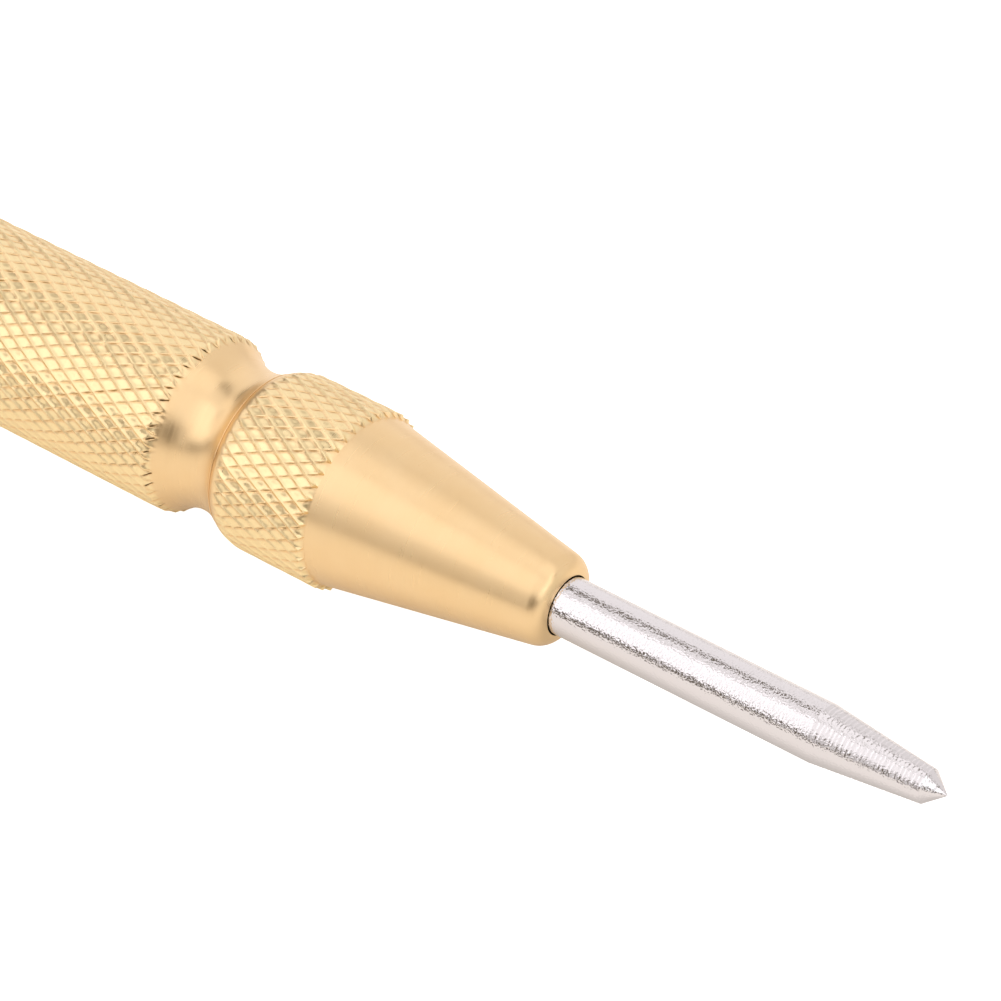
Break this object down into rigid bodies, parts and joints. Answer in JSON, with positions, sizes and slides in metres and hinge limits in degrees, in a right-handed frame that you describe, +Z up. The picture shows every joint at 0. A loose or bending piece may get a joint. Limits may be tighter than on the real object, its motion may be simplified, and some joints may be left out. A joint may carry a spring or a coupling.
{
  "type": "center punch",
  "caption": "Spring-loaded automatic center punch: knurled brass body with a neck and a cone nose, a sliding steel point and a screw cap that sets the blow.",
  "frame": {"origin": "on the surface that the tool lies on, under the middle of its length", "axes": "+X along the tool's axis towards the tip, +Z up; the axis is one barrel radius, 7 mm, above the surface"},
  "size_m": [0.13, 0.014, 0.014],
  "materials": {
    "turned_brass": "satin, turned and knurled",
    "point_steel": "bright, turned, with fine lathe rings on the taper",
    "hardened_steel": "ground",
    "spring_wire": "drawn wire"
  },
  "bodies": {
    "casing": {"barrel": "turned_brass", "nose_cone": "turned_brass", "return_spring": "spring_wire"},
    "point": {"punch_point": "point_steel"},
    "drift": {"drift_pin": "hardened_steel"},
    "striker": {"hammer": "hardened_steel"},
    "drive_spring": {"main_spring": "spring_wire"},
    "cap": {"adjusting_cap": "turned_brass"}
  },
  "joints": [
    {"name": "point_slide", "type": "slide", "parent": "casing", "child": "point", "axis": [-1, 0, 0], "range_m": [0, 0.009], "stiffness_N_per_m": 6380, "springref_m": -0.0002, "deforming": ["return_spring"]},
    {"name": "drift_tilt", "type": "hinge", "parent": "point", "child": "drift", "pos_m": [0.018, 0, 0.007], "axis": [0, -1, 0], "range_deg": [0, 1.25]},
    {"name": "hammer_slide", "type": "slide", "parent": "casing", "child": "striker", "axis": [-1, 0, 0], "range_m": [0, 0.0091], "deforming": ["main_spring"]},
    {"name": "cap_advance", "type": "slide", "parent": "casing", "child": "drive_spring", "axis": [1, 0, 0], "range_m": [-0.0021, 0.0031]},
    {"name": "cap_turn", "type": "hinge", "parent": "drive_spring", "child": "cap", "pos_m": [-0.05, 0, 0.007], "axis": [1, 0, 0], "range_deg": [-720, 1080]}
  ],
  "couplings": [
    {"joint": "drift_tilt", "follows": "point_slide", "rad_per_m": 2.3271},
    {"joint": "hammer_slide", "follows": "point_slide", "ratio": 1},
    {"joint": "cap_advance", "follows": "cap_turn", "m_per_rad": 0.00015915}
  ]
}
